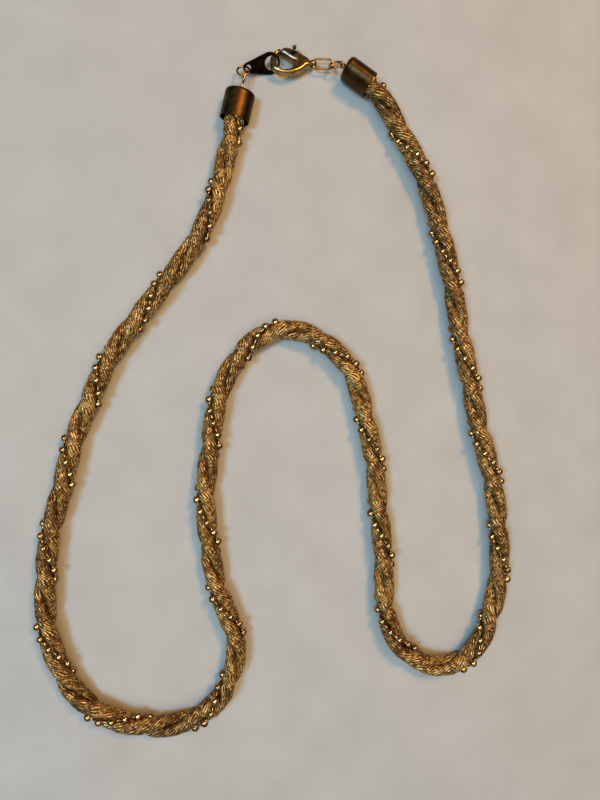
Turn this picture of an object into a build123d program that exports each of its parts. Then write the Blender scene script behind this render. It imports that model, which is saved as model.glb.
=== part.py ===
from build123d import *
from bisect import bisect_right
from math import cos, radians, sin, sqrt, tan
import os

# Twisted mesh rope necklace, lying closed on a table. Millimetres, +Z up, the table is z = 0.
# +Y runs from the bottom of the loop to the clasp, and +X to the side with the clasp's rings.

# ---- driving dimensions: rope -------------------------------------------------------------
rope_diameter = 5.4          # two mesh strands twisted together, measured over both
rope_height = 3.25           # the rope's axis above the table, so the balls under it just touch
twist_pitch = 25.0           # one turn of the twist, where the list of crossings has ended
rope_in_cap = 4.7            # length of rope inside each end cap
rope_straight = 6.3          # the rope keeps to its cap's axis this far out of the left mouth
rope_straight_right = 2.5    # and this far out of the right one

# ---- driving dimensions: ball chain -------------------------------------------------------
ball_diameter = 2.1
ball_pitch = 3.18            # from ball to ball along the chain
ball_lay_radius = 2.2        # from the rope's axis to the balls' centres
ball_cap_clearance = 0.06    # between a ball and the bore of a cap
ball_end_gap = 0.3           # between the end balls and the adhesive
link_wire_diameter = 0.5     # the dumb-bell link between two balls

# ---- driving dimensions: end caps ---------------------------------------------------------
cap_width = 7.6              # outside, across the oval cup
cap_thickness = 5.95         # outside, the oval's short way
cap_length = 7.6
cap_wall = 0.25
cap_end_thickness = 0.45
cap_shoulder = 1.0           # rounding of the closed end's edge
cap_rim_round = 0.1
left_cap_roll = 0.0          # the left cap lies flat, held just off the table by the rope
left_cap_height = 3.25       # its axis above the table
right_cap_roll = 86.0        # the right one has rolled up on its edge
right_cap_height = 3.8
left_mouth = (-10.1, 68.1)   # centre of the left cap's open end, and the way it opens
left_mouth_angle = -103.0
right_mouth = (24.6, 78.1)
right_mouth_angle = -34.0

# ---- driving dimensions: eye pins ---------------------------------------------------------
eye_wire_diameter = 0.5
eye_loop_width = 2.1         # outside, across the loop
left_eye_length = 3.4        # outside, along the loop: the left eye is drawn out long
right_eye_length = 2.1
left_eye_neck = 1.9          # bare wire from the cap to the loop
right_eye_neck = 0.15
left_eye_roll = -80.0        # turn of the loop about its cap's axis, 0 is flat to the table
right_eye_roll = -75.0
eye_hole_clearance = 0.05    # radial, eye pin in the cap's hole
eye_head_diameter = 1.5      # the flattened head inside the cap
eye_head_thickness = 0.4

# ---- driving dimensions: rings ------------------------------------------------------------
ring_wire_diameter = 0.55
ring_split = 0.05            # the butted joint of a jump ring
left_ring_diameter = 3.7
left_ring_lean = -10.0       # its tilt about the line from the left eye to the tag's hole
left_link_gap = 0.95         # between the wire centres where the ring hangs in the left eye
round_ring_diameter = 4.0
round_ring_drop = 35.0       # slope of the ring from the cap's height down to the clasp's
round_ring_line = 156.0      # heading from the right eye to the oblong ring
round_ring_roll = 30.0
round_ring_slack = 0.2
ring_link_gap = 0.8          # between the wire centres where the oblong hangs on the round ring
oblong_width = 2.9
oblong_wire_diameter = 0.5
oblong_roll = 5.0

# ---- driving dimensions: two-hole tag -----------------------------------------------------
tag_thickness = 0.4
tag_large_hole_diameter = 3.5
tag_small_hole_diameter = 1.5
tag_end_rim = 0.45           # metal beyond the large hole, at the end
tag_side_rim = 0.95          # metal beside the large hole
tag_small_rim = 0.55         # metal round the small hole
tag_edge_round = 0.08
tag_roll = 50.0              # the edge towards +Y is the higher one
tag_small_hole_at = (-6.6, 81.9, 2.4)

# ---- driving dimensions: lobster clasp, in its own plane ------------------------------------
# x runs from the hook's nose to the eye and y across, with the nose at x = 0.
clasp_nose_at = (-1.15, 83.86, 2.14)
clasp_roll = -10.0
clasp_thickness = 2.3
hook_thickness = 1.3
tag_hole_in_clasp = (0.5, -0.3)   # where the tag's large hole lies round the hook
pivot_x = 7.0
pivot_y = 1.1
lever_reach = 4.4            # from the pivot to the lever's tip
lever_tip_gap = 0.1
lever_root_radius = 1.15
lever_root_thickness = 1.1
lever_arm_thickness = 1.7
cheek_radius = 1.75          # the body's cheeks, round the pivot
cheek_clearance = 0.12
slot_clearance = 0.07        # each side of the lever's root
rivet_diameter = 0.8
rivet_clearance = 0.03       # radial, lever on its rivet
rivet_head_diameter = 1.2
rivet_head_height = 0.12
spring_wire_diameter = 0.2
spring_pocket_height = 0.5
spring_pocket_radius = 0.8
clasp_eye_outside = 2.1
clasp_eye_hole = 1.15
clasp_eye_width = 1.1
neck_width = 1.9
neck_x = 9.9
clasp_eye_x = 11.15

# The rope's route over the table, from the left cap to the right one.
route = [
    (-14.5, 47), (-24, 30), (-38, 13.5), (-47.5, -6), (-53, -26), (-57, -46), (-55, -65.5),
    (-47, -78.5), (-31, -85.5), (-14.5, -81), (-8, -66), (-14.5, -50), (-17.5, -33), (-16.5, -14),
    (-13, 3), (-5, 14), (8, 16), (19.5, 7), (24, -8), (26.5, -24), (28, -41), (28.5, -55),
    (31, -65.5), (38.5, -71.5), (48, -71.7), (55, -65), (58.5, -53), (59.5, -38), (57, -22.5),
    (52.3, -4.5), (49, 13), (46.2, 28), (43, 44), (37, 59.5), (31.5, 69),
]

outline_middle = (1.37, 0.67)    # middle of the whole outline, which becomes the origin

# Where the ball chain crosses the top of the rope, along the rope from the left mouth.
crossings = [
    -2, 24, 51, 75, 96, 118, 142, 166, 193, 219, 242, 267, 291, 314, 339, 363, 388, 416, 440,
    466, 491, 518, 547,
]


def heading(angle):
    return Vector(cos(radians(angle)), sin(radians(angle)), 0)


def leaning_plane(origin, along, roll):
    """Plane whose x axis is along, turned by roll degrees about it from flat to the table."""
    level = Vector(0, 0, 1).cross(along).normalized()
    upright = along.cross(level).normalized()
    normal = upright * cos(radians(roll)) - level * sin(radians(roll))
    return Plane(origin=origin, x_dir=along, z_dir=normal)


# ---- places worked out from the dimensions --------------------------------------------------
cap_bore_half_thickness = cap_thickness / 2 - cap_wall
left_out = heading(left_mouth_angle)
right_out = heading(right_mouth_angle)
left_mouth_point = Vector(*left_mouth, left_cap_height)
right_mouth_point = Vector(*right_mouth, right_cap_height)
left_crown = left_mouth_point - left_out * cap_length
right_crown = right_mouth_point - right_out * cap_length
plug_length = cap_length - cap_end_thickness - rope_in_cap


def rope_points():
    points = [left_mouth_point - left_out * rope_in_cap, left_mouth_point + left_out * rope_straight]
    points += [Vector(x, y, rope_height) for x, y in route]
    points += [right_mouth_point + right_out * rope_straight_right]
    points += [right_mouth_point - right_out * rope_in_cap]
    return points


def corner_radii(points):
    radii = []
    for before, here, after in zip(points, points[1:], points[2:]):
        run_in = here - before
        run_out = after - here
        half_turn = radians(run_in.get_angle(run_out)) / 2
        radii.append(0.45 * min(run_in.length, run_out.length) / tan(half_turn))
    return radii


def rope_path():
    points = rope_points()
    return Wire(FilletPolyline(points, radius=corner_radii(points)).edges())


def mesh_rope(path):
    start = Plane(origin=path @ 0, z_dir=path % 0)
    return sweep(start * Circle(rope_diameter / 2), path=path)


def turns_at(distance):
    """Turns of the twist from the first crossing, at a distance along the rope from the mouth."""
    if distance >= crossings[-1]:
        return len(crossings) - 1 + (distance - crossings[-1]) / twist_pitch
    if distance <= crossings[0]:
        return (distance - crossings[0]) / twist_pitch
    step = bisect_right(crossings, distance) - 1
    share = (distance - crossings[step]) / (crossings[step + 1] - crossings[step])
    return step + share


def lay_radius_at(distance, length):
    """The chain lies closer to the axis inside the caps, so that it clears their bore."""
    in_cap_radius = cap_bore_half_thickness - ball_cap_clearance - ball_diameter / 2
    from_end = min(distance, length - distance)
    share = min(max((from_end - rope_in_cap) / ball_diameter, 0), 1)
    return in_cap_radius + (ball_lay_radius - in_cap_radius) * share


def ball_centre(path, distance):
    """A point of the left-handed helix round the rope, at a distance along the rope's axis."""
    along = path.tangent_at(distance / path.length)
    side = Vector(0, 0, 1).cross(along).normalized()
    up = along.cross(side)
    turned = radians(90 - 360 * turns_at(distance - rope_in_cap))
    offset = side * cos(turned) + up * sin(turned)
    return path.position_at(distance / path.length) + offset * lay_radius_at(distance, path.length)


def ball_places(path):
    """Centres of the balls, each one ball pitch from the last."""
    end_room = ball_diameter / 2 + ball_end_gap
    distance = end_room
    centres = [ball_centre(path, distance)]
    while distance < path.length - end_room - ball_pitch:
        near = distance
        far = distance + 1.5 * ball_pitch
        while far - near > 0.001:
            middle = (near + far) / 2
            if (ball_centre(path, middle) - centres[-1]).length < ball_pitch:
                near = middle
            else:
                far = middle
        distance = near
        centres.append(ball_centre(path, distance))
    return centres


def chain_balls(centres):
    return Compound([Pos(centre) * Sphere(ball_diameter / 2) for centre in centres])


def chain_links(centres):
    """The bare middle of each dumb-bell, which meets the balls at their holes."""
    ball_radius = ball_diameter / 2
    hole_depth = sqrt(ball_radius ** 2 - (link_wire_diameter / 2) ** 2)
    links = []
    for first, second in zip(centres, centres[1:]):
        span = second - first
        middle = Plane(origin=(first + second) * 0.5, z_dir=span)
        links.append(middle * Cylinder(link_wire_diameter / 2, span.length - 2 * hole_depth))
    return Compound(links)


def cap_plane(crown, out, roll):
    """Plane on a cap's closed end: z out of its mouth, x along the oval's long way."""
    upright = leaning_plane(crown, out, roll)
    return Plane(origin=crown, x_dir=upright.y_dir, z_dir=out)


def end_cap(crown, out, roll):
    """Pressed oval brass cup with a rounded closed end and a hole there for the eye pin."""
    cup = extrude(Ellipse(cap_width / 2, cap_thickness / 2), cap_length)
    cup = fillet(cup.edges().group_by(Axis.Z)[0], cap_shoulder)
    inside = Ellipse(cap_width / 2 - cap_wall, cap_thickness / 2 - cap_wall)
    cup -= Pos(0, 0, cap_end_thickness) * extrude(inside, cap_length)
    cup -= Cylinder(eye_wire_diameter / 2 + eye_hole_clearance, 2 * cap_end_thickness + 1)
    cup = fillet(cup.edges().group_by(Axis.Z)[-1], cap_rim_round)
    return cap_plane(crown, out, roll) * cup


def wire_loop(length, width, wire_diameter):
    """Closed loop of round wire in the XY plane, long way along X; round if length is width."""
    mid_radius = (width - wire_diameter) / 2
    half_straight = (length - width) / 2
    if half_straight < 0.01:
        return Torus(mid_radius, wire_diameter / 2)
    with BuildLine() as line:
        Line((-half_straight, mid_radius), (half_straight, mid_radius))
        RadiusArc((half_straight, mid_radius), (half_straight, -mid_radius), mid_radius)
        Line((half_straight, -mid_radius), (-half_straight, -mid_radius))
        RadiusArc((-half_straight, -mid_radius), (-half_straight, mid_radius), mid_radius)
    path = line.wire()
    section = Plane(origin=path @ 0, z_dir=path % 0) * Circle(wire_diameter / 2)
    return sweep(section, path=path)


def eye_pin(crown, out, loop_length, neck, roll):
    """One wire: loop and neck outside the cap, stem through its hole, flattened head inside."""
    plane = leaning_plane(crown, out * -1, roll)
    wire_radius = eye_wire_diameter / 2
    pin = Pos(neck + loop_length / 2, 0, 0) * wire_loop(loop_length, eye_loop_width, eye_wire_diameter)
    stem_end = neck + wire_radius
    stem_length = stem_end + cap_end_thickness
    pin += Pos(stem_end - stem_length / 2, 0, 0) * Cylinder(wire_radius, stem_length, rotation=(0, 90, 0))
    head_middle = -cap_end_thickness - eye_head_thickness / 2
    pin += Pos(head_middle, 0, 0) * Cylinder(eye_head_diameter / 2, eye_head_thickness, rotation=(0, 90, 0))
    return plane * pin


def adhesive_plug(crown, out, roll, pin):
    """Hardened adhesive between the closed end and the rope, cast round the pin's head."""
    inside = Ellipse(cap_width / 2 - cap_wall, cap_thickness / 2 - cap_wall)
    plug = cap_plane(crown + out * cap_end_thickness, out, roll) * extrude(inside, plug_length)
    return plug - pin


def jump_ring(plane, diameter, split_angle):
    ring = Torus((diameter - ring_wire_diameter) / 2, ring_wire_diameter / 2)
    cut = Rot(0, 0, split_angle) * Pos(diameter / 2, 0, 0) * Box(diameter, ring_split, diameter)
    return plane * (ring - cut)


# ---- planes of the loose pieces -------------------------------------------------------------
clasp_plane = leaning_plane(Vector(*clasp_nose_at), Vector(1, 0, 0), clasp_roll)
tag_hole_centre = clasp_plane.from_local_coords(Vector(*tag_hole_in_clasp, 0))
tag_small_hole_centre = Vector(*tag_small_hole_at)
tag_plane = leaning_plane(tag_hole_centre, (tag_hole_centre - tag_small_hole_centre).normalized(), tag_roll)
left_ring_mid = (left_ring_diameter - ring_wire_diameter) / 2
left_eye_reach = left_eye_neck + left_eye_length - eye_wire_diameter / 2 - left_link_gap
left_link_point = left_crown - left_out * left_eye_reach
left_chord = tag_small_hole_centre - left_link_point
left_chord_plane = leaning_plane(left_link_point + left_chord * 0.5, left_chord.normalized(), left_ring_lean)
left_ring_offset = sqrt(left_ring_mid ** 2 - (left_chord.length / 2) ** 2)
left_ring_centre = left_chord_plane.from_local_coords(Vector(0, left_ring_offset, 0))
left_ring_plane = Plane(origin=left_ring_centre, x_dir=left_chord_plane.x_dir, z_dir=left_chord_plane.z_dir)
round_ring_mid = (round_ring_diameter - ring_wire_diameter) / 2
right_eye_centre = right_crown - right_out * (right_eye_neck + right_eye_length / 2)
round_ring_way = (heading(round_ring_line) * cos(radians(round_ring_drop))
                  - Vector(0, 0, 1) * sin(radians(round_ring_drop)))
round_ring_centre = right_eye_centre + round_ring_way * (round_ring_mid + round_ring_slack)
round_ring_plane = leaning_plane(round_ring_centre, round_ring_way, round_ring_roll)
clasp_eye_centre = clasp_plane.from_local_coords(Vector(clasp_eye_x, 0, 0))
oblong_right_bar = round_ring_centre + round_ring_way * (round_ring_mid - ring_link_gap)
oblong_way = (oblong_right_bar - clasp_eye_centre).normalized()
oblong_length = (oblong_right_bar - clasp_eye_centre).length + oblong_wire_diameter
oblong_centre = (oblong_right_bar + clasp_eye_centre) * 0.5
oblong_plane = leaning_plane(oblong_centre, oblong_way, oblong_roll)


def oblong_ring():
    return oblong_plane * wire_loop(oblong_length, oblong_width, oblong_wire_diameter)


def two_hole_tag():
    """Flat stamped tag: two round ends joined by tangent sides, a hole in each."""
    large_hole_radius = tag_large_hole_diameter / 2
    small_hole_radius = tag_small_hole_diameter / 2
    large_end_radius = large_hole_radius + tag_side_rim
    small_end_radius = small_hole_radius + tag_small_rim
    large_end_x = tag_end_rim - tag_side_rim
    small_hole_x = -(tag_hole_centre - tag_small_hole_centre).length
    outline = make_hull((Pos(large_end_x, 0) * Circle(large_end_radius)).edges()
                        + (Pos(small_hole_x, 0) * Circle(small_end_radius)).edges())
    outline -= Circle(large_hole_radius)
    outline -= Pos(small_hole_x, 0) * Circle(small_hole_radius)
    tag = extrude(outline, tag_thickness / 2, both=True)
    flat_edges = tag.edges().group_by(Axis.Z)
    tag = fillet(flat_edges[0] + flat_edges[-1], tag_edge_round)
    return tag_plane * tag


def hook_face():
    """The bent arm of the clasp, from its tip round the nose to the body, in the clasp's plane."""
    tip_radius = lever_reach + lever_tip_gap
    tip_outer = (pivot_x - tip_radius * cos(radians(28)), pivot_y + tip_radius * sin(radians(28)))
    tip_middle = (pivot_x - tip_radius * cos(radians(20)), pivot_y + tip_radius * sin(radians(20)))
    tip_inner = (pivot_x - tip_radius * cos(radians(12)), pivot_y + tip_radius * sin(radians(12)))
    with BuildSketch() as sketch:
        with BuildLine():
            ThreePointArc(tip_outer, tip_middle, tip_inner)
            ThreePointArc(tip_inner, (1.95, 1.4), (1.72, 0.7))
            Line((1.72, 0.7), (1.72, -0.9))
            ThreePointArc((1.72, -0.9), (2.45, -2.0), (4.2, -2.35))
            Line((4.2, -2.35), (4.9, -2.5))
            Line((4.9, -2.5), (4.9, -3.2))
            Line((4.9, -3.2), (4.2, -3.42))
            ThreePointArc((4.2, -3.42), (1.25, -2.75), (0.12, -0.9))
            ThreePointArc((0.12, -0.9), (0.45, 1.75), tip_outer)
        make_face()
    return sketch.sketch


def body_face():
    """The thick part of the clasp: from under the opening to the neck, with the lever's cheeks."""
    half_neck = neck_width / 2
    with BuildSketch() as sketch:
        with BuildLine():
            Line((4.2, -3.42), (4.2, -2.35))
            ThreePointArc((4.2, -2.35), (5.5, -1.75), (6.1, -0.5))
            Line((6.1, -0.5), (pivot_x - 1.0, pivot_y + 1.2))
            Line((pivot_x - 1.0, pivot_y + 1.2), (pivot_x + 0.4, pivot_y + 1.72))
            Line((pivot_x + 0.4, pivot_y + 1.72), (neck_x, half_neck))
            Line((neck_x, half_neck), (neck_x, -half_neck))
            ThreePointArc((neck_x, -half_neck), (7.4, -2.75), (4.2, -3.42))
        make_face()
    return sketch.sketch


def lever_outline():
    """The lever in its closed place: tip, arm, thumb spur and round root."""
    tip_top = (pivot_x - lever_reach * cos(radians(30)), pivot_y + lever_reach * sin(radians(30)))
    tip_low = (pivot_x - lever_reach * cos(radians(12)), pivot_y + lever_reach * sin(radians(12)))
    tip_mid = (pivot_x - lever_reach * cos(radians(21)), pivot_y + lever_reach * sin(radians(21)))
    root_top = (pivot_x + 0.45, pivot_y + 1.06)
    root_low = (pivot_x - 0.75, pivot_y - 0.87)
    with BuildSketch() as sketch:
        with BuildLine():
            ThreePointArc(tip_low, tip_mid, tip_top)
            ThreePointArc(tip_top, (4.6, 3.68), (5.85, 3.42))
            Line((5.85, 3.42), (6.12, 4.35))
            Line((6.12, 4.35), (6.6, 4.35))
            Line((6.6, 4.35), (6.6, 3.1))
            Line((6.6, 3.1), root_top)
            ThreePointArc(root_top, (pivot_x + lever_root_radius, pivot_y), root_low)
            ThreePointArc(root_low, (4.4, 1.0), tip_low)
        make_face()
    return sketch.sketch


def slab(face, thickness):
    return extrude(face, thickness / 2, both=True)


def clasp_body():
    """Hook and body in one casting, slotted for the lever's root, with its own eye at the end."""
    at_pivot = Pos(pivot_x, pivot_y, 0)
    body = slab(body_face(), clasp_thickness) + at_pivot * Cylinder(cheek_radius, clasp_thickness)
    body += slab(hook_face(), hook_thickness)
    slot_width = lever_root_thickness + 2 * slot_clearance
    body -= at_pivot * Cylinder(lever_root_radius + cheek_clearance, slot_width)
    body -= slab(lever_sweep_face(), slot_width)
    pocket_top = lever_root_thickness / 2 + spring_pocket_height
    body -= at_pivot * Pos(0, 0, pocket_top / 2) * Cylinder(spring_pocket_radius, pocket_top)
    body -= at_pivot * Cylinder(rivet_diameter / 2, 2 * clasp_thickness)
    bar_start = neck_x - 0.3
    bar = Box(clasp_eye_x - bar_start, clasp_eye_width, clasp_eye_width)
    body += Pos((bar_start + clasp_eye_x) / 2, 0, 0) * bar
    body += Pos(clasp_eye_x, 0, 0) * Cylinder(clasp_eye_outside / 2, clasp_eye_width, rotation=(90, 0, 0))
    body -= Pos(clasp_eye_x, 0, 0) * Cylinder(clasp_eye_hole / 2, 2 * clasp_eye_width, rotation=(90, 0, 0))
    return clasp_plane * body


def lever_sweep_face():
    """Room in the body for the lever's root and arm, from closed to fully open."""
    with BuildSketch() as sketch:
        with BuildLine():
            Polyline((pivot_x, pivot_y - 1.3), (pivot_x, pivot_y), (pivot_x + 0.75, pivot_y + 1.1),
                     (pivot_x + 0.75, pivot_y + 3), (pivot_x - 4, pivot_y + 3), (pivot_x - 4, pivot_y - 2.6),
                     (pivot_x - 1.5, pivot_y - 2.6), close=True)
        make_face()
    return sketch.sketch


def clasp_lever():
    """Thumb lever: a thick arm and spur, and a thinner root that turns between the cheeks."""
    at_pivot = Pos(pivot_x, pivot_y, 0)
    lever = slab(lever_outline(), lever_arm_thickness)
    lever -= at_pivot * Cylinder(cheek_radius + cheek_clearance, 2 * clasp_thickness)
    lever += slab(lever_outline(), lever_root_thickness)
    lever -= at_pivot * Cylinder(rivet_diameter / 2 + rivet_clearance, 2 * clasp_thickness)
    return clasp_plane * lever


def lever_rivet():
    """Pin through both cheeks, upset into a low head on each side."""
    length = clasp_thickness + 2 * rivet_head_height
    rivet = Cylinder(rivet_diameter / 2, length)
    head_middle = (clasp_thickness + rivet_head_height) / 2
    rivet += Pos(0, 0, head_middle) * Cylinder(rivet_head_diameter / 2, rivet_head_height)
    rivet += Pos(0, 0, -head_middle) * Cylinder(rivet_head_diameter / 2, rivet_head_height)
    return clasp_plane * Pos(pivot_x, pivot_y, 0) * rivet


def lever_spring():
    """Return spring of the lever: a flat coil round the rivet, in its pocket beside the root."""
    coil_radius = spring_pocket_radius - spring_wire_diameter / 2
    coil = Torus(coil_radius, spring_wire_diameter / 2)
    height = (lever_root_thickness + spring_pocket_height) / 2 + slot_clearance
    return clasp_plane * Pos(pivot_x, pivot_y, height) * coil


def export(name, shape):
    """Write one node, moved so that the origin is under the middle of the whole outline."""
    shape = Pos(-outline_middle[0], -outline_middle[1], 0) * shape
    export_step(shape, "parts/" + name + ".step")
    print(name, "volume", round(shape.volume, 3), "mm3, valid", shape.is_valid)


os.makedirs("parts", exist_ok=True)
the_path = rope_path()
the_centres = ball_places(the_path)
left_pin = eye_pin(left_crown, left_out, left_eye_length, left_eye_neck, left_eye_roll)
right_pin = eye_pin(right_crown, right_out, right_eye_length, right_eye_neck, right_eye_roll)
export("mesh_rope", mesh_rope(the_path))
export("ball_chain_balls", chain_balls(the_centres))
export("ball_chain_links", chain_links(the_centres))
export("left_end_cap", end_cap(left_crown, left_out, left_cap_roll))
export("right_end_cap", end_cap(right_crown, right_out, right_cap_roll))
export("left_eye_pin", left_pin)
export("right_eye_pin", right_pin)
export("left_adhesive", adhesive_plug(left_crown, left_out, left_cap_roll, left_pin))
export("right_adhesive", adhesive_plug(right_crown, right_out, right_cap_roll, right_pin))
export("left_jump_ring", jump_ring(left_ring_plane, left_ring_diameter, 130))
export("round_jump_ring", jump_ring(round_ring_plane, round_ring_diameter, 90))
export("oblong_ring", oblong_ring())
export("two_hole_tag", two_hole_tag())
export("clasp_body", clasp_body())
export("clasp_lever", clasp_lever())
export("lever_rivet", lever_rivet())
export("lever_spring", lever_spring())
print("oblong ring length", round(oblong_length, 2))
print("swing line", right_eye_centre, left_link_point)
print("tag", tag_small_hole_centre, tag_hole_centre, "oblong", oblong_right_bar, clasp_eye_centre)
print("pivot", clasp_plane.from_local_coords(Vector(pivot_x, pivot_y, 0)), clasp_plane.z_dir)
print("rope centreline", round(the_path.length, 1), "mm, balls", len(the_centres))
print("corner radii", [round(radius, 1) for radius in corner_radii(rope_points())])
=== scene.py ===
import bpy
from math import cos, pi, radians, sin
from mathutils import Matrix, Vector


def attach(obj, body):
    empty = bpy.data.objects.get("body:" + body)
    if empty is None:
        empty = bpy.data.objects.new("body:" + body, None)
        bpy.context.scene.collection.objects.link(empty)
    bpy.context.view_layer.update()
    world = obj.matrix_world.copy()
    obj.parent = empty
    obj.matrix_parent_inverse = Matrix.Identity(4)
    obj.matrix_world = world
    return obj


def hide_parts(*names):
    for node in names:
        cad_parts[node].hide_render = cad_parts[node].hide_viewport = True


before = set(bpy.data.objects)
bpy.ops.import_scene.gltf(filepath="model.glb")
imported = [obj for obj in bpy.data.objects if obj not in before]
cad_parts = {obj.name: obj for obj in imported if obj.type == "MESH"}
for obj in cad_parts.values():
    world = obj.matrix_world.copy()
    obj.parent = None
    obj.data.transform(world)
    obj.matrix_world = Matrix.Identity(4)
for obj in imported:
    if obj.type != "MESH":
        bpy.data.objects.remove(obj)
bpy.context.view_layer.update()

scene = bpy.context.scene
bpy.ops.object.select_all(action="DESELECT")

# ---- the rope's line -------------------------------------------------------------------------
# The rope's axis from inside the left cap, round the loops on the table, to inside the right
# cap. The rope is limp and lies where it was laid down.
left_mouth = Vector((-0.0101, 0.0681, 0.00325))
left_out = Vector((cos(radians(-103)), sin(radians(-103)), 0))
right_mouth = Vector((0.0246, 0.0781, 0.0038))
right_out = Vector((cos(radians(-34)), sin(radians(-34)), 0))
frame_shift = Vector((-0.00137, -0.00067, 0))
route = [
    (-14.5, 47), (-24, 30), (-38, 13.5), (-47.5, -6), (-53, -26), (-57, -46), (-55, -65.5),
    (-47, -78.5), (-31, -85.5), (-14.5, -81), (-8, -66), (-14.5, -50), (-17.5, -33), (-16.5, -14),
    (-13, 3), (-5, 14), (8, 16), (19.5, 7), (24, -8), (26.5, -24), (28, -41), (28.5, -55),
    (31, -65.5), (38.5, -71.5), (48, -71.7), (55, -65), (58.5, -53), (59.5, -38), (57, -22.5),
    (52.3, -4.5), (49, 13), (46.2, 28), (43, 44), (37, 59.5), (31.5, 69),
]
route_points = [left_mouth - left_out * 0.0047, left_mouth + left_out * 0.0063]
route_points += [Vector((x / 1000, y / 1000, 0.00325)) for x, y in route]
route_points += [right_mouth + right_out * 0.0025, right_mouth - right_out * 0.0047]
route_points = [point + frame_shift for point in route_points]

route_curve = bpy.data.curves.new("rope_line", "CURVE")
route_curve.dimensions = "3D"
route_curve.resolution_u = 24
route_spline = route_curve.splines.new("NURBS")
route_spline.points.add(len(route_points) - 1)
for spline_point, point in zip(route_spline.points, route_points):
    spline_point.co = (*point, 1)
route_spline.order_u = 3
route_spline.use_endpoint_u = True
route_object = bpy.data.objects.new("rope_line", route_curve)
scene.collection.objects.link(route_object)
bpy.context.view_layer.update()
route_mesh = bpy.data.meshes.new_from_object(route_object)
axis_points = [vertex.co.copy() for vertex in route_mesh.vertices]
bpy.data.objects.remove(route_object)

axis_distances = [0.0]
for before, here in zip(axis_points, axis_points[1:]):
    axis_distances.append(axis_distances[-1] + (here - before).length)
rope_length = axis_distances[-1]


def on_axis(distance):
    """Point of the rope's axis at a distance along it, with its tangent, side and up."""
    low = 0
    high = len(axis_distances) - 2
    while low < high:
        middle = (low + high + 1) // 2
        if axis_distances[middle] <= distance:
            low = middle
        else:
            high = middle - 1
    span = axis_distances[low + 1] - axis_distances[low]
    share = (distance - axis_distances[low]) / span
    place = axis_points[low].lerp(axis_points[low + 1], share)
    here = (axis_points[low + 1] - axis_points[low]).normalized()
    before = (axis_points[low] - axis_points[max(low - 1, 0)]) if low else here
    after = (axis_points[min(low + 2, len(axis_points) - 1)] - axis_points[low + 1])
    after = after if after.length > 0 else here
    tangent = (before.normalized() * (1 - share) + here + after.normalized() * share).normalized()
    side = Vector((0, 0, 1)).cross(tangent).normalized()
    return place, tangent, side, tangent.cross(side)


# Where the ball chain crosses the top of the rope, in mm along it from the left cap's mouth.
crossings = [
    -2, 24, 51, 75, 96, 118, 142, 166, 193, 219, 242, 267, 291, 314, 339, 363, 388, 416, 440,
    466, 491, 518, 547,
]


def twist_angle(distance):
    """Angle of the ball chain round the axis, smoothed between the crossings; left-handed."""
    along = (distance - 0.0047) * 1000
    total = 0
    for shift in (-6, -3, 0, 3, 6):
        place = along + shift
        step = max(sum(1 for crossing in crossings if crossing <= place) - 1, 0)
        if step >= len(crossings) - 1:
            total += len(crossings) - 1 + (place - crossings[-1]) / 25
        elif place < crossings[0]:
            total += (place - crossings[0]) / 25
        else:
            total += step + (place - crossings[step]) / (crossings[step + 1] - crossings[step])
    return radians(90) - 2 * pi * total / 5


# ---- the two mesh strands ----------------------------------------------------------------------
# Two soft tubes knitted from fine antiqued brass wire, twisted together so that each is
# squeezed to an oval against the other. Their ends are glued into the caps.
strand_offset = 0.00126
strand_half_thickness = 0.00126
strand_half_width = 0.00174
rib_height = 0.00010
rib_spacing = 0.0017
ribs_round = 11
rib_kink = 0.35
kink_waves = 1900
strand_step = 0.0004
strand_sides = 60
strands = []
for number in range(2):
    vertices = []
    faces = []
    rings = int(rope_length / strand_step) + 1
    for ring in range(rings):
        distance = rope_length * ring / (rings - 1)
        place, tangent, side, up = on_axis(min(distance, rope_length - 1e-7))
        # The strands swell and slip a little as they go: waves of 3 to 9 mm that never line up.
        swell = 1 + 0.03 * sin(distance * 1310 + 2.1 * number) + 0.02 * sin(distance * 2470 + 4 * number)
        slack = 0.07 * sin(distance * 730 + 3 * number) + 0.04 * sin(distance * 1730 + number)
        angle = twist_angle(distance) + pi / 2 + pi * number + slack
        outward = side * cos(angle) + up * sin(angle)
        around = up * cos(angle) - side * sin(angle)
        kink = rib_kink * sin(distance * kink_waves + number)
        for corner in range(strand_sides):
            turn = 2 * pi * corner / strand_sides
            lean = distance / rib_spacing + ribs_round * corner / strand_sides + kink
            lift = rib_height * (abs(sin(pi * lean)) - 0.5)
            thickness = strand_half_thickness * swell + lift
            width = strand_half_width * swell + lift
            across = strand_offset + thickness * cos(turn)
            vertices.append(place + outward * across + around * (width * sin(turn)))
    for ring in range(rings - 1):
        for corner in range(strand_sides):
            following = (corner + 1) % strand_sides
            a = ring * strand_sides
            b = a + strand_sides
            faces.append((a + corner, a + following, b + following, b + corner))
    faces.append(tuple(range(strand_sides))[::-1])
    faces.append(tuple((rings - 1) * strand_sides + corner for corner in range(strand_sides)))
    mesh = bpy.data.meshes.new("mesh_strand_%d" % (number + 1))
    mesh.from_pydata(vertices, [], faces)
    mesh.shade_smooth()
    strand = bpy.data.objects.new(mesh.name, mesh)
    scene.collection.objects.link(strand)
    layer = mesh.uv_layers.new(name="wire")
    uv_values = []
    for polygon in mesh.polygons:
        corners = [mesh.loops[i].vertex_index for i in polygon.loop_indices]
        seam = any(c % strand_sides == strand_sides - 1 for c in corners)
        for c in corners:
            along = rope_length * (c // strand_sides) / (rings - 1)
            share = c % strand_sides
            if seam and share == 0 and len(corners) == 4:
                share = strand_sides
            rows = along / rib_spacing + rib_kink * sin(along * kink_waves + number)
            uv_values += [rows, share / strand_sides]
    layer.data.foreach_set("uv", uv_values)
    strands.append(strand)


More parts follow.
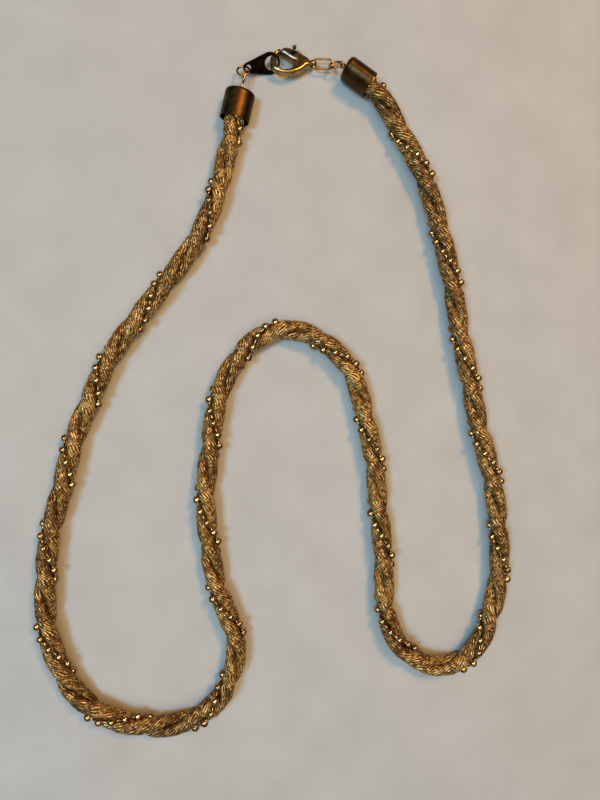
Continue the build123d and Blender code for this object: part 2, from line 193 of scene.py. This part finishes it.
def colour(hex_code):
    """sRGB hex to the linear values that a socket takes."""
    parts = [int(hex_code[i:i + 2], 16) / 255 for i in (1, 3, 5)]
    linear = [c / 12.92 if c <= 0.04045 else ((c + 0.055) / 1.055) ** 2.4 for c in parts]
    return (*linear, 1.0)


def add_node(material, kind, inputs=(), **settings):
    """Adds a shader node; inputs maps a socket to a value or to another node's output."""
    tree = material.node_tree
    made = tree.nodes.new(kind)
    for name, value in settings.items():
        setattr(made, name, value)
    for key, value in dict(inputs).items():
        if isinstance(value, bpy.types.NodeSocket):
            tree.links.new(value, made.inputs[key])
        else:
            made.inputs[key].default_value = value
    return made


# Knitted brass wire about 0.16 mm thick, antiqued: rows of stitches slant round each strand, gold on their
# tops and brown in the grooves, the brown being painted shade between the wires, and single stitches are
# painted lighter as glints.
wire_mesh = bpy.data.materials.new("knitted_brass_wire")
wire_mesh.use_nodes = True
wire_mesh.node_tree.nodes.clear()
uv = add_node(wire_mesh, "ShaderNodeUVMap", uv_map="wire")
parts = add_node(wire_mesh, "ShaderNodeSeparateXYZ", {"Vector": uv.outputs[0]})
# A row is 0.85 mm wide: X counts pairs of rows along the strand, and 11 pairs go round it.
round_rows = add_node(wire_mesh, "ShaderNodeMath", {0: parts.outputs["Y"], 1: 11.0}, operation="MULTIPLY")
row = add_node(wire_mesh, "ShaderNodeMath", {0: parts.outputs["X"], 1: round_rows.outputs[0]},
               operation="ADD")
row_turn = add_node(wire_mesh, "ShaderNodeMath", {0: row.outputs[0], 1: pi}, operation="MULTIPLY")
row_wave = add_node(wire_mesh, "ShaderNodeMath", {0: row_turn.outputs[0]}, operation="SINE")
row_height = add_node(wire_mesh, "ShaderNodeMath", {0: row_wave.outputs[0]}, operation="ABSOLUTE")
# The legs of the knitted loops cross each row about every 0.5 mm, leaning the other way.
legs_along = add_node(wire_mesh, "ShaderNodeMath", {0: parts.outputs["X"], 1: 3.4}, operation="MULTIPLY")
legs_round = add_node(wire_mesh, "ShaderNodeMath", {0: parts.outputs["Y"], 1: 10.0}, operation="MULTIPLY")
legs = add_node(wire_mesh, "ShaderNodeMath", {0: legs_along.outputs[0], 1: legs_round.outputs[0]},
                operation="SUBTRACT")
legs_turn = add_node(wire_mesh, "ShaderNodeMath", {0: legs.outputs[0], 1: pi}, operation="MULTIPLY")
legs_wave = add_node(wire_mesh, "ShaderNodeMath", {0: legs_turn.outputs[0]}, operation="SINE")
legs_height = add_node(wire_mesh, "ShaderNodeMath", {0: legs_wave.outputs[0]}, operation="ABSOLUTE")
legs_part = add_node(wire_mesh, "ShaderNodeMath", {0: legs_height.outputs[0], 1: 0.5}, operation="MULTIPLY")
stitch = add_node(wire_mesh, "ShaderNodeMath", {0: row_height.outputs[0], 1: legs_part.outputs[0]},
                  operation="ADD")
place = add_node(wire_mesh, "ShaderNodeTexCoord")
# Each stitch, about 0.6 mm long, has a tone of its own, the lighter ones painted glints; the finish also
# drifts over 8 mm or so.
each = add_node(wire_mesh, "ShaderNodeTexVoronoi", {"Vector": place.outputs["Object"], "Scale": 1700.0})
each_tone = add_node(wire_mesh, "ShaderNodeSeparateColor", {"Color": each.outputs["Color"]})
worn = add_node(wire_mesh, "ShaderNodeTexNoise", {"Vector": place.outputs["Object"], "Scale": 120.0,
                                                  "Detail": 2.0})
# Tone follows the stitch pattern: the grooves between the wires are painted dark as shade and the tops gold.
height = add_node(wire_mesh, "ShaderNodeMapRange", {"Value": stitch.outputs[0], "From Min": 0.15,
                                                    "From Max": 1.45, "To Max": 0.55})
# Random stitches are lifted towards gold: painted glints.
own = add_node(wire_mesh, "ShaderNodeMath", {0: each_tone.outputs["Red"], 1: 0.42,
                                             2: height.outputs["Result"]}, operation="MULTIPLY_ADD")
drift = add_node(wire_mesh, "ShaderNodeMath", {0: worn.outputs["Fac"], 1: 0.5, 2: own.outputs[0]},
                 operation="MULTIPLY_ADD")
tone = add_node(wire_mesh, "ShaderNodeMapRange", {"Value": drift.outputs[0], "From Min": 0.2,
                                                  "From Max": 1.1})
shade = add_node(wire_mesh, "ShaderNodeValToRGB", {"Fac": tone.outputs["Result"]})
shade.color_ramp.elements[0].color = colour("#1A0D04")
shade.color_ramp.elements[1].color = colour("#E6B868")
shade.color_ramp.elements.new(0.42).color = colour("#4C2D0E")
shade.color_ramp.elements.new(0.72).color = colour("#7E5520")
gloss = add_node(wire_mesh, "ShaderNodeMapRange", {"Value": each_tone.outputs["Green"], "To Min": 0.28,
                                                   "To Max": 0.55})
relief = add_node(wire_mesh, "ShaderNodeMath", {0: each_tone.outputs["Blue"], 1: 0.5, 2: stitch.outputs[0]},
                  operation="MULTIPLY_ADD")
bump = add_node(wire_mesh, "ShaderNodeBump", {"Height": relief.outputs[0], "Distance": 0.00011,
                                              "Strength": 0.9})
shader = add_node(wire_mesh, "ShaderNodeBsdfPrincipled", {
    "Base Color": shade.outputs["Color"], "Metallic": 0.6, "Roughness": gloss.outputs["Result"],
    "Normal": bump.outputs[0]})
add_node(wire_mesh, "ShaderNodeOutputMaterial", {"Surface": shader.outputs[0]})
for strand in strands:
    strand.data.materials.append(wire_mesh)
    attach(strand, "rope")

# ---- the ball chain ----------------------------------------------------------------------------
# Hollow 2.1 mm brass balls pressed round dumb-bell links of wire, wound in the groove between the
# two strands and glued into both caps with them.
ball_radius = 0.00105
ball_pitch = 0.00318
first_ball = 0.00135
groove_radius = 0.0023
glued_radius = 0.00164


def ball_centre(distance):
    """Centre of a ball: in the groove, and nearer to the axis where it enters a cap."""
    place, tangent, side, up = on_axis(distance)
    from_end = min(distance, rope_length - distance)
    share = min(max((from_end - 0.0047) / 0.0021, 0), 1)
    radius = glued_radius + (groove_radius - glued_radius) * share
    angle = twist_angle(distance)
    return place + side * (radius * cos(angle)) + up * (radius * sin(angle))


ball_centres = [ball_centre(first_ball)]
distance = first_ball
while distance < rope_length - first_ball - ball_pitch:
    near = distance
    far = distance + 1.5 * ball_pitch
    while far - near > 1e-6:
        middle = (near + far) / 2
        if (ball_centre(min(middle, rope_length - 1e-7)) - ball_centres[-1]).length < ball_pitch:
            near = middle
        else:
            far = middle
    distance = near
    ball_centres.append(ball_centre(distance))

bpy.ops.mesh.primitive_ico_sphere_add(subdivisions=3, radius=ball_radius)
one_ball = bpy.context.object
bpy.ops.object.shade_smooth()

# One link: its thin middle, then each end drawn out and widened to fill the ball's hole.
neck = ball_pitch - 2.6 * ball_radius
bpy.ops.mesh.primitive_cylinder_add(vertices=10, radius=0.00022, depth=neck)
one_link = bpy.context.object
bpy.ops.object.mode_set(mode="EDIT")
bpy.ops.mesh.select_mode(type="FACE")
for way in (1, -1):
    bpy.ops.mesh.select_all(action="DESELECT")
    bpy.ops.object.mode_set(mode="OBJECT")
    for face in one_link.data.polygons:
        face.select = face.normal.z * way > 0.9
    bpy.ops.object.mode_set(mode="EDIT")
    for longer, wider in ((0.2, 1.1), (0.12, 1.5), (0.16, 1.15)):
        bpy.ops.mesh.extrude_region_move(TRANSFORM_OT_translate={"value": (0, 0, way * longer * ball_radius)})
        bpy.ops.transform.resize(value=(wider, wider, 1), center_override=(0, 0, 0), orient_type="GLOBAL",
                                 constraint_axis=(True, True, False))
bpy.ops.object.mode_set(mode="OBJECT")
bpy.ops.object.shade_smooth()

# Every ball and link is a copy of those two, set in the groove and joined with its like.
chain = []
for model, name, places in (
        (one_ball, "balls", [Matrix.Translation(centre) for centre in ball_centres]),
        (one_link, "dumb_bell_links", [
            Matrix.Translation((a + b) / 2) @ (b - a).to_track_quat("Z", "Y").to_matrix().to_4x4()
            for a, b in zip(ball_centres, ball_centres[1:])])):
    bpy.ops.object.select_all(action="DESELECT")
    model.name = name
    model.data.name = name
    for place in places[1:]:
        copy = model.copy()
        copy.data = model.data.copy()
        copy.matrix_world = place
        scene.collection.objects.link(copy)
        copy.select_set(True)
    model.matrix_world = places[0]
    model.select_set(True)
    bpy.context.view_layer.objects.active = model
    bpy.ops.object.join()
    bpy.ops.object.transform_apply()
    chain.append(model)
balls, links = chain

# Antique brass plate, barrel polished: brown in its pores, gold and mirror-bright on the balls.
ball_plate = bpy.data.materials.new("antique_brass_balls")
ball_plate.use_nodes = True
ball_plate.node_tree.nodes.clear()
place = add_node(ball_plate, "ShaderNodeTexCoord")
grain = add_node(ball_plate, "ShaderNodeTexNoise", {"Vector": place.outputs["Object"], "Scale": 900.0,
                                                    "Detail": 4.0})
tone = add_node(ball_plate, "ShaderNodeValToRGB", {"Fac": grain.outputs["Fac"]})
tone.color_ramp.elements[0].position = 0.35
tone.color_ramp.elements[0].color = colour("#80623A")
tone.color_ramp.elements[1].position = 0.68
tone.color_ramp.elements[1].color = colour("#D6B27A")
polish = add_node(ball_plate, "ShaderNodeMapRange", {"Value": grain.outputs["Fac"], "To Min": 0.12,
                                                     "To Max": 0.26})
pores = add_node(ball_plate, "ShaderNodeBump", {"Height": grain.outputs["Fac"], "Distance": 0.00001,
                                                "Strength": 0.4})
shader = add_node(ball_plate, "ShaderNodeBsdfPrincipled", {
    "Base Color": tone.outputs["Color"], "Metallic": 1.0, "Roughness": polish.outputs["Result"],
    "Normal": pores.outputs[0]})
add_node(ball_plate, "ShaderNodeOutputMaterial", {"Surface": shader.outputs[0]})
for piece, cad_node in ((balls, "ball_chain_balls"), (links, "ball_chain_links")):
    piece.data.materials.append(ball_plate)
    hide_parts(cad_node)
    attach(piece, "rope")

# The rope is one free length of limp cord: both strands with the ball chain.
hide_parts("mesh_rope")

# ---- end caps, rings and tag -------------------------------------------------------------------
# Oval cups drawn from brass sheet, their eyes and rings bent from round brass wire, and a punched
# tag, all plated antique brass at three depths from golden to nearly black.
finishes = {}
for name, dark, light, scale, low, high in (
        ("dark_antique_brass", "#30220F", "#5E4424", 420.0, 0.34, 0.46),
        ("golden_brown_wire", "#7A5628", "#CFA460", 900.0, 0.14, 0.28),
        ("black_antique_brass", "#17100A", "#3D2B1C", 600.0, 0.24, 0.42),
        ("polished_antique_brass", "#7D5F38", "#CDA86C", 500.0, 0.16, 0.3),
        # The lever's brass: the clasp's own brass painted greyer, a painted reflection of the grey ceiling.
        ("brass_painted_grey_reflection", "#6E5A42", "#B39A78", 500.0, 0.24, 0.36)):
    finish = bpy.data.materials.new(name)
    finish.use_nodes = True
    finish.node_tree.nodes.clear()
    place = add_node(finish, "ShaderNodeTexCoord")
    cloud = add_node(finish, "ShaderNodeTexNoise", {"Vector": place.outputs["Object"], "Scale": scale,
                                                    "Detail": 5.0})
    tone = add_node(finish, "ShaderNodeValToRGB", {"Fac": cloud.outputs["Fac"]})
    tone.color_ramp.elements[0].position = 0.32
    tone.color_ramp.elements[0].color = colour(dark)
    tone.color_ramp.elements[1].position = 0.7
    tone.color_ramp.elements[1].color = colour(light)
    gloss = add_node(finish, "ShaderNodeMapRange", {"Value": cloud.outputs["Fac"], "To Min": low,
                                                    "To Max": high})
    fine = add_node(finish, "ShaderNodeTexNoise", {"Vector": place.outputs["Object"], "Scale": 3500.0,
                                                   "Detail": 3.0})
    pits = add_node(finish, "ShaderNodeBump", {"Height": fine.outputs["Fac"], "Distance": 0.00001,
                                               "Strength": 0.5})
    shader = add_node(finish, "ShaderNodeBsdfPrincipled", {
        "Base Color": tone.outputs["Color"], "Metallic": 1.0, "Roughness": gloss.outputs["Result"],
        "Normal": pits.outputs[0]})
    add_node(finish, "ShaderNodeOutputMaterial", {"Surface": shader.outputs[0]})
    finishes[name] = finish

# The glue that holds the rope's ends: hard, amber and a little glossy.
glue = bpy.data.materials.new("hardened_epoxy")
glue.use_nodes = True
glue.node_tree.nodes.clear()
place = add_node(glue, "ShaderNodeTexCoord")
bubbles = add_node(glue, "ShaderNodeTexNoise", {"Vector": place.outputs["Object"], "Scale": 1200.0,
                                                "Detail": 3.0})
tone = add_node(glue, "ShaderNodeValToRGB", {"Fac": bubbles.outputs["Fac"]})
tone.color_ramp.elements[0].color = colour("#8F7A52")
tone.color_ramp.elements[1].color = colour("#C9B78C")
shader = add_node(glue, "ShaderNodeBsdfPrincipled", {"Base Color": tone.outputs["Color"], "Roughness": 0.35})
add_node(glue, "ShaderNodeOutputMaterial", {"Surface": shader.outputs[0]})
finishes["hardened_epoxy"] = glue

for finish, names in (
        ("dark_antique_brass", ("left_end_cap", "right_end_cap")),
        ("golden_brown_wire", ("left_eye_pin", "right_eye_pin", "left_jump_ring", "round_jump_ring",
                               "oblong_ring", "lever_spring")),
        ("black_antique_brass", ("two_hole_tag",)),
        ("polished_antique_brass", ("clasp_body", "lever_rivet")),
        ("brass_painted_grey_reflection", ("clasp_lever",)),
        ("hardened_epoxy", ("left_adhesive", "right_adhesive"))):
    for name in names:
        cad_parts[name].data.materials.clear()
        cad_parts[name].data.materials.append(finishes[finish])

# ---- lobster clasp -----------------------------------------------------------------------------
# A polished casting in two parts: the body with its hook and eye, and the thumb lever that turns
# on a rivet between the body's cheeks. All its edges are tumbled round. The outlines are in mm, in
# the clasp's own plane, with the hook's nose at x = 0.
clasp_place = Matrix.Translation(Vector((-0.00115, 0.08386, 0.00214)) + frame_shift)
clasp_place = clasp_place @ Matrix.Rotation(radians(-10), 4, "X")
body_outline = [
    (2.95, 3.2), (1.75, 2.85), (0.85, 2.1), (0.28, 1.05), (0.08, 0.0), (0.2, -1.05), (0.65, -2.05),
    (1.6, -2.9), (3.0, -3.38), (4.5, -3.45), (6.1, -3.25), (7.5, -2.75), (8.7, -1.95), (9.6, -1.15),
    (10.1, -0.85), (10.15, 0.8), (9.5, 1.35), (8.6, 1.98), (7.7, 2.65), (6.9, 2.8), (6.15, 2.3),
    (5.85, 1.5), (5.9, 0.5), (6.15, -0.5), (5.8, -1.55), (4.9, -2.2), (3.8, -2.35), (2.6, -1.95),
    (1.85, -1.05), (1.6, 0.0), (1.7, 0.85), (2.05, 1.55), (2.6, 2.15),
]
lever_outline = [
    (3.05, 2.1), (2.95, 2.75), (3.25, 3.35), (4.2, 3.72), (5.2, 3.62), (5.95, 3.45), (6.05, 4.0),
    (6.12, 4.4), (6.4, 4.45), (6.62, 4.35), (6.65, 3.7), (6.8, 3.15), (7.4, 2.75), (8.0, 2.1),
    (8.1, 1.1), (7.6, 0.3), (6.9, 0.0), (6.2, 0.15), (5.4, 0.55), (4.5, 1.15), (3.7, 1.7),
]
for name, outline, thickness, rounding, cad_node, body, finish in (
        ("clasp_casting", body_outline, 2.1, 0.66, "clasp_body", "clasp", "polished_antique_brass"),
        # The thumb lever takes the brass painted greyer as a reflection of the ceiling.
        ("thumb_lever", lever_outline, 2.5, 0.8, "clasp_lever", "lever", "brass_painted_grey_reflection")):
    plate = bpy.data.curves.new(name, "CURVE")
    plate.dimensions = "2D"
    plate.fill_mode = "BOTH"
    plate.extrude = (thickness / 2 - rounding) / 1000
    plate.bevel_depth = rounding / 1000
    plate.bevel_resolution = 5
    plate.offset = -rounding / 1000
    plate.resolution_u = 8
    spline = plate.splines.new("BEZIER")
    spline.bezier_points.add(len(outline) - 1)
    for bezier, (x, y) in zip(spline.bezier_points, outline):
        bezier.co = (x / 1000, y / 1000, 0)
        bezier.handle_left_type = "AUTO"
        bezier.handle_right_type = "AUTO"
    spline.use_cyclic_u = True
    piece = bpy.data.objects.new(name, plate)
    scene.collection.objects.link(piece)
    bpy.ops.object.select_all(action="DESELECT")
    piece.select_set(True)
    bpy.context.view_layer.objects.active = piece
    bpy.ops.object.convert(target="MESH")
    if name == "clasp_casting":
        # The eye: a ring as thick as the neck, cast on its end with its hole across the clasp.
        bpy.ops.mesh.primitive_torus_add(major_radius=0.00081, minor_radius=0.00023, major_segments=40,
                                         minor_segments=16, location=(0.01115, 0, 0), rotation=(pi / 2, 0, 0))
        eye = bpy.context.object
        eye.scale = (1, 1, 2.3)
        bpy.ops.object.transform_apply()
        piece.select_set(True)
        bpy.context.view_layer.objects.active = piece
        bpy.ops.object.join()
    bpy.ops.object.mode_set(mode="EDIT")
    bpy.ops.mesh.select_all(action="SELECT")
    bpy.ops.mesh.remove_doubles(threshold=1e-7)
    bpy.ops.mesh.normals_make_consistent(inside=False)
    bpy.ops.object.mode_set(mode="OBJECT")
    bpy.ops.object.shade_smooth()
    piece.matrix_world = clasp_place
    bpy.ops.object.transform_apply()
    piece.data.materials.clear()
    piece.data.materials.append(finishes[finish])
    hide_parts(cad_node)
    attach(piece, body)

# ---- the table, lights and camera ----------------------------------------------------------------
# A pale painted board with a faint mottle. A warm room lamp stands on one side, a cool window on
# the other, and soft light comes from above.
bpy.ops.object.select_all(action="DESELECT")
bpy.ops.mesh.primitive_plane_add(size=1.6)
floor = bpy.context.object
floor.name = "floor"
table = bpy.data.materials.new("matt_painted_board")
table.use_nodes = True
table.node_tree.nodes.clear()
place = add_node(table, "ShaderNodeTexCoord")
mottle = add_node(table, "ShaderNodeTexNoise", {"Vector": place.outputs["Object"], "Scale": 70.0,
                                                "Detail": 4.0})
tone = add_node(table, "ShaderNodeValToRGB", {"Fac": mottle.outputs["Fac"]})
tone.color_ramp.elements[0].position = 0.3
tone.color_ramp.elements[0].color = colour("#ABA69B")
tone.color_ramp.elements[1].position = 0.7
tone.color_ramp.elements[1].color = colour("#B3AEA3")
shader = add_node(table, "ShaderNodeBsdfPrincipled", {"Base Color": tone.outputs["Color"], "Roughness": 0.85})
add_node(table, "ShaderNodeOutputMaterial", {"Surface": shader.outputs[0]})
floor.data.materials.append(table)

for name, place, size, power, hue in (
        ("warm_lamp", (0.33, 0.39, 0.76), 0.24, 5.0, "#FFC068"),
        ("cool_window", (-0.43, 0.0, 0.86), 0.3, 7.4, "#80C8FF"),
        ("sky", (0.0, -0.08, 0.45), 0.5, 1.05, "#FFF4DC")):
    lamp = bpy.data.lights.new(name, "AREA")
    lamp.shape = "DISK"
    lamp.size = size
    lamp.energy = power
    lamp.color = colour(hue)[:3]
    lamp_object = bpy.data.objects.new(name, lamp)
    lamp_object.location = place
    lamp_object.rotation_euler = (-Vector(place)).to_track_quat("-Z", "Y").to_euler()
    scene.collection.objects.link(lamp_object)

room = bpy.data.worlds.new("room")
room.use_nodes = True
room.node_tree.nodes["Background"].inputs["Color"].default_value = colour("#B8B4AE")
room.node_tree.nodes["Background"].inputs["Strength"].default_value = 0.24
scene.world = room

bpy.ops.object.camera_add(location=(-0.00812, -0.00327, 0.1556), rotation=(0, radians(-5), 0))
camera = bpy.context.object
camera.data.sensor_fit = "HORIZONTAL"
camera.data.sensor_width = 36
camera.data.lens = 36
camera.data.clip_start = 0.001
scene.camera = camera
scene.view_settings.view_transform = "Standard"
